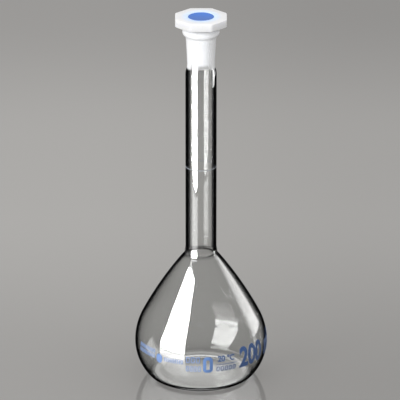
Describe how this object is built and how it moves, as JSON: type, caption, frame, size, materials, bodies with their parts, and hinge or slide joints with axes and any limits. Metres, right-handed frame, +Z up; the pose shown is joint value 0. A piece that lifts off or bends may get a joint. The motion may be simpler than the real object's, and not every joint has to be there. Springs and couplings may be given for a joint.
{
  "type": "volumetric flask",
  "caption": "Flat-bottomed pear-shaped glass measuring flask with a long narrow neck, graduation ring, ground socket and octagonal plastic stopper that lifts out and turns.",
  "frame": {"origin": "centre of the foot, on the plane that the flask stands on", "axes": "+Z up the flask's axis towards the stopper; +X and +Y point at flats of the octagonal head"},
  "size_m": [0.0754, 0.0754, 0.2166],
  "materials": {
    "borosilicate_glass": "clear, fire polished, with a fine-ground socket",
    "enamel_line": "opaque pale enamel, fused on, satin",
    "white_polyethylene": "satin, slightly translucent white",
    "blue_inlay": "satin mid blue"
  },
  "bodies": {
    "flask": {"glass_flask": "borosilicate_glass", "graduation_ring": "enamel_line"},
    "inlay": {"inlay_disc": "blue_inlay"},
    "stopper": {"stopper": "white_polyethylene"}
  },
  "joints": [
    {"name": "stopper_lift", "type": "slide", "parent": "flask", "child": "inlay", "axis": [0, 0, 1], "range_m": [0, 0.06]},
    {"name": "stopper_twist", "type": "hinge", "parent": "inlay", "child": "stopper", "pos_m": [0, 0, 0.2121], "axis": [0, 0, 1], "continuous": true}
  ]
}
